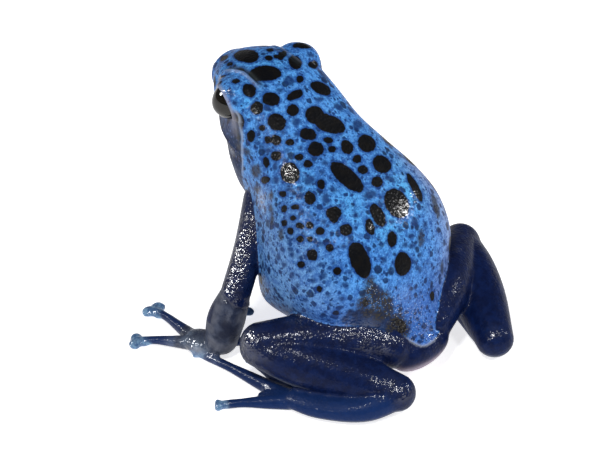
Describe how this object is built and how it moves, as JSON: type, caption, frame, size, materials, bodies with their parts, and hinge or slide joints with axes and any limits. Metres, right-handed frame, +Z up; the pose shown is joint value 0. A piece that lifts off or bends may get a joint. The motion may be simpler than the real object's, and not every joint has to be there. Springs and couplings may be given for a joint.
{
  "type": "blue poison dart frog model",
  "caption": "Still, life-size blue poison dart frog sitting upright with its head raised, spotted black on blue, resting on spread fingers and toes.",
  "frame": {"origin": "on the floor under the middle of the model's bounding box", "axes": "+Z up, the frog faces -Y, its left side is +X"},
  "size_m": [0.0422, 0.0368, 0.0306],
  "materials": {
    "skin": "moist granular skin, sky blue on the back and head with round near-black spots, paler lilac-blue flanks with fine dark speckles, navy limbs with light blue finger and toe discs",
    "eye": "wet, glossy black-brown eyeball with a dark iris"
  },
  "bodies": {
    "root": {"head": "skin", "trunk": "skin", "upper_arm_L": "skin", "upper_arm_R": "skin", "forearm_L": "skin", "forearm_R": "skin", "hand_L": "skin", "hand_R": "skin", "thigh_L": "skin", "thigh_R": "skin", "shank_L": "skin", "shank_R": "skin", "foot_L": "skin", "foot_R": "skin", "eye_L": "eye", "eye_R": "eye"}
  },
  "joints": []
}
